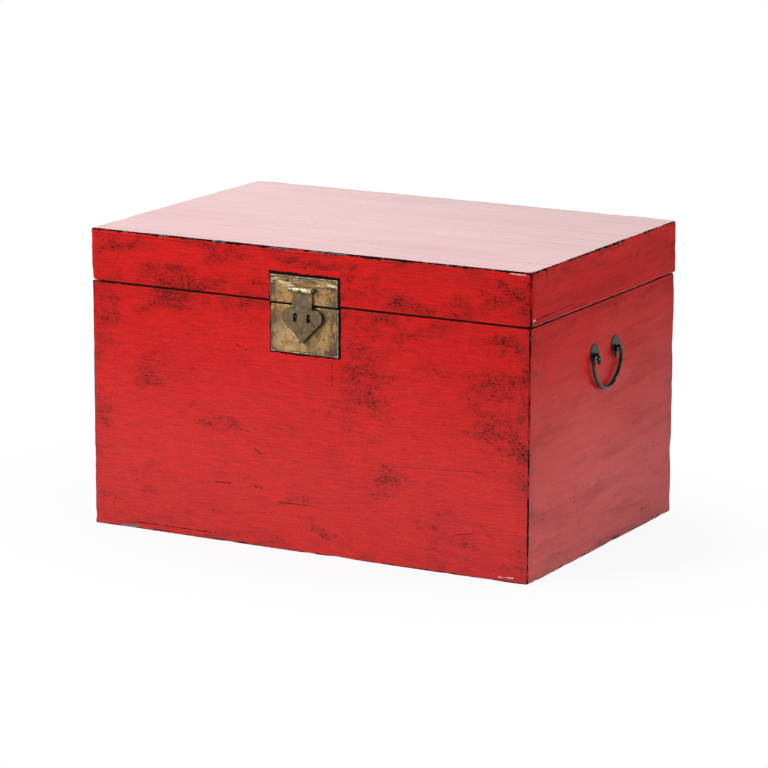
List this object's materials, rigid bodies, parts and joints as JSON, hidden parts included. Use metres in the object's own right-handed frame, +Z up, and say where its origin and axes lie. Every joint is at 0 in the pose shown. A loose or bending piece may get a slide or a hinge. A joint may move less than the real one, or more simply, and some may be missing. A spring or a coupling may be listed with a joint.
{
  "type": "storage trunk",
  "caption": "Rectangular red-lacquered wooden storage trunk with a deep hinged lid, a square lock plate with a swinging heart-shaped hasp on the front and a drop handle on each end.",
  "frame": {"origin": "on the floor, under the middle of the case", "axes": "+Z up, +X to the right end along the long side, front towards -Y"},
  "size_m": [0.8184, 0.5593, 0.4939],
  "materials": {
    "red_lacquer": "worn glossy red lacquer",
    "bare_wood": "bare aged wood",
    "aged_brass": "aged, stained brass",
    "black_iron": "blackened forged iron"
  },
  "bodies": {
    "case": {"case_front_board": "red_lacquer", "case_back_board": "red_lacquer", "case_left_board": "red_lacquer", "case_right_board": "red_lacquer", "case_bottom_panel": "bare_wood", "rim_lip_front": "bare_wood", "rim_lip_left": "bare_wood", "rim_lip_right": "bare_wood", "lower_lock_plate": "aged_brass", "lock_staples": "aged_brass", "left_hinge_lower_leaf": "aged_brass", "right_hinge_lower_leaf": "aged_brass", "left_hinge_pin": "aged_brass", "right_hinge_pin": "aged_brass", "case_hinge_nails": "aged_brass", "left_handle_backplates": "black_iron", "right_handle_backplates": "black_iron", "left_handle_eyes": "black_iron", "right_handle_eyes": "black_iron"},
    "lid": {"lid_top_board": "red_lacquer", "lid_front_rail": "red_lacquer", "lid_back_rail": "red_lacquer", "lid_left_rail": "red_lacquer", "lid_right_rail": "red_lacquer", "upper_lock_plate": "aged_brass", "hasp_eyes": "aged_brass", "hasp_pin": "aged_brass", "left_hinge_upper_leaf": "aged_brass", "right_hinge_upper_leaf": "aged_brass", "lid_hinge_nails": "aged_brass"},
    "hasp": {"hasp": "aged_brass"},
    "left_bail": {"left_bail": "black_iron"},
    "right_bail": {"right_bail": "black_iron"}
  },
  "joints": [
    {"name": "lid_swing", "type": "hinge", "parent": "case", "child": "lid", "pos_m": [0, 0.2715, 0.40745], "axis": [-1, 0, 0], "range_deg": [0, 110]},
    {"name": "hasp_swing", "type": "hinge", "parent": "lid", "child": "hasp", "pos_m": [0, -0.2766, 0.4303], "axis": [-1, 0, 0], "range_deg": [-8, 165]},
    {"name": "left_bail_swing", "type": "hinge", "parent": "case", "child": "left_bail", "pos_m": [-0.4035, 0, 0.322], "axis": [0, 1, 0], "range_deg": [-2, 175]},
    {"name": "right_bail_swing", "type": "hinge", "parent": "case", "child": "right_bail", "pos_m": [0.4035, 0, 0.322], "axis": [0, -1, 0], "range_deg": [-2, 175]}
  ]
}
